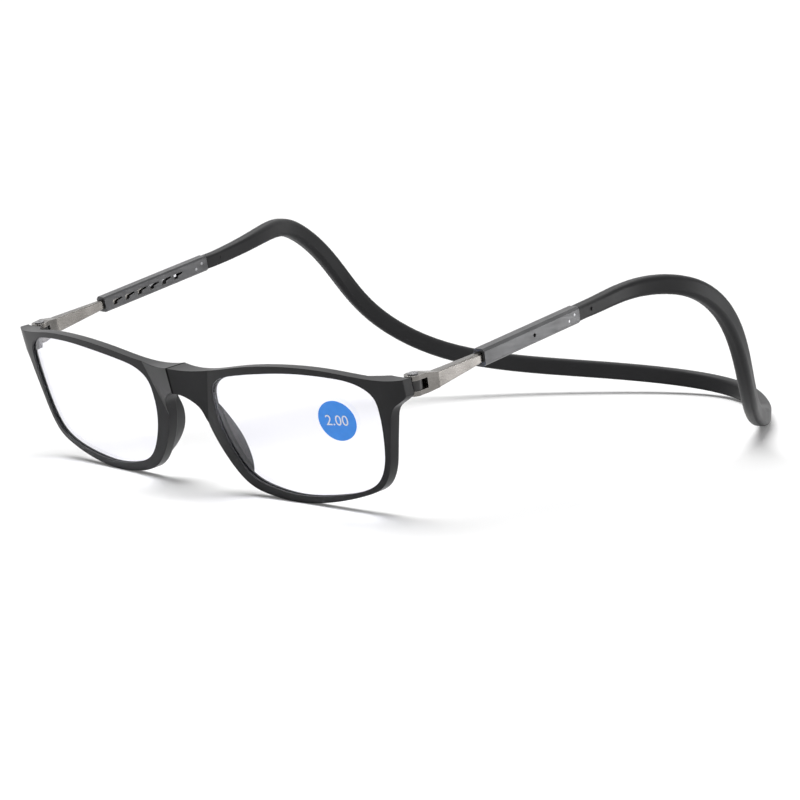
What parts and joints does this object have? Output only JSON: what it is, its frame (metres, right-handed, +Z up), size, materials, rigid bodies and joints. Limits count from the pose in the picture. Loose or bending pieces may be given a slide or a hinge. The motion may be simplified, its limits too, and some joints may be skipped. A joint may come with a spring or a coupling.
{
  "type": "magnetic bridge reading glasses",
  "caption": "Reading glasses whose front parts at a magnetic bridge, with telescoping metal temples joined by a soft band that runs behind the neck.",
  "frame": {"origin": "on the resting plane, midway between the two halves, under the foot of the front", "axes": "+X to the wearer's left, +Y towards the back of the head, +Z up from the resting plane"},
  "size_m": [0.1554, 0.2313, 0.0573],
  "materials": {
    "frame_plastic": "satin black moulding",
    "lens_clear": "clear, faintly coated",
    "magnet_plate": "nickel plated",
    "hinge_steel": "blackened",
    "screw_steel": "blackened, worn at the slot",
    "bar_metal": "gunmetal, satin",
    "latch_steel": "spring steel",
    "sleeve_metal": "satin dark grey",
    "pin_steel": "satin",
    "sticker_film": "printed film",
    "band_rubber": "satin moulded rubber"
  },
  "bodies": {
    "neck": {"neck_band": "band_rubber", "left_sleeve": "sleeve_metal", "left_sleeve_pins": "pin_steel", "right_sleeve": "sleeve_metal", "right_sleeve_pins": "pin_steel"},
    "left_temple": {"left_temple_bar": "bar_metal", "left_latch_spring": "latch_steel", "left_latch_rivet": "latch_steel", "left_hinge_screw": "screw_steel"},
    "left_front": {"left_front_frame": "frame_plastic", "left_lens": "lens_clear", "left_bridge_magnet": "magnet_plate", "left_hinge_insert": "hinge_steel", "lens_sticker": "sticker_film"},
    "right_temple": {"right_temple_bar": "bar_metal", "right_latch_spring": "latch_steel", "right_latch_rivet": "latch_steel", "right_hinge_screw": "screw_steel"},
    "right_front": {"right_front_frame": "frame_plastic", "right_lens": "lens_clear", "right_bridge_magnet": "magnet_plate", "right_hinge_insert": "hinge_steel"}
  },
  "joints": [
    {"name": "left_temple_slide", "type": "slide", "parent": "neck", "child": "left_temple", "axis": [0.0349, -0.981, -0.1907], "range_m": [0, 0.0225]},
    {"name": "left_front_hinge", "type": "hinge", "parent": "left_temple", "child": "left_front", "pos_m": [0.0685, 0.00306, 0.03271], "axis": [0, -0.1908, 0.9816], "range_deg": [0, 30]},
    {"name": "right_temple_slide", "type": "slide", "parent": "neck", "child": "right_temple", "axis": [-0.0349, -0.9706, -0.2381], "range_m": [0, 0.0225]},
    {"name": "right_front_hinge", "type": "hinge", "parent": "right_temple", "child": "right_front", "pos_m": [-0.0685, 0.00306, 0.03271], "axis": [0, 0.2383, -0.9712], "range_deg": [0, 30]}
  ]
}
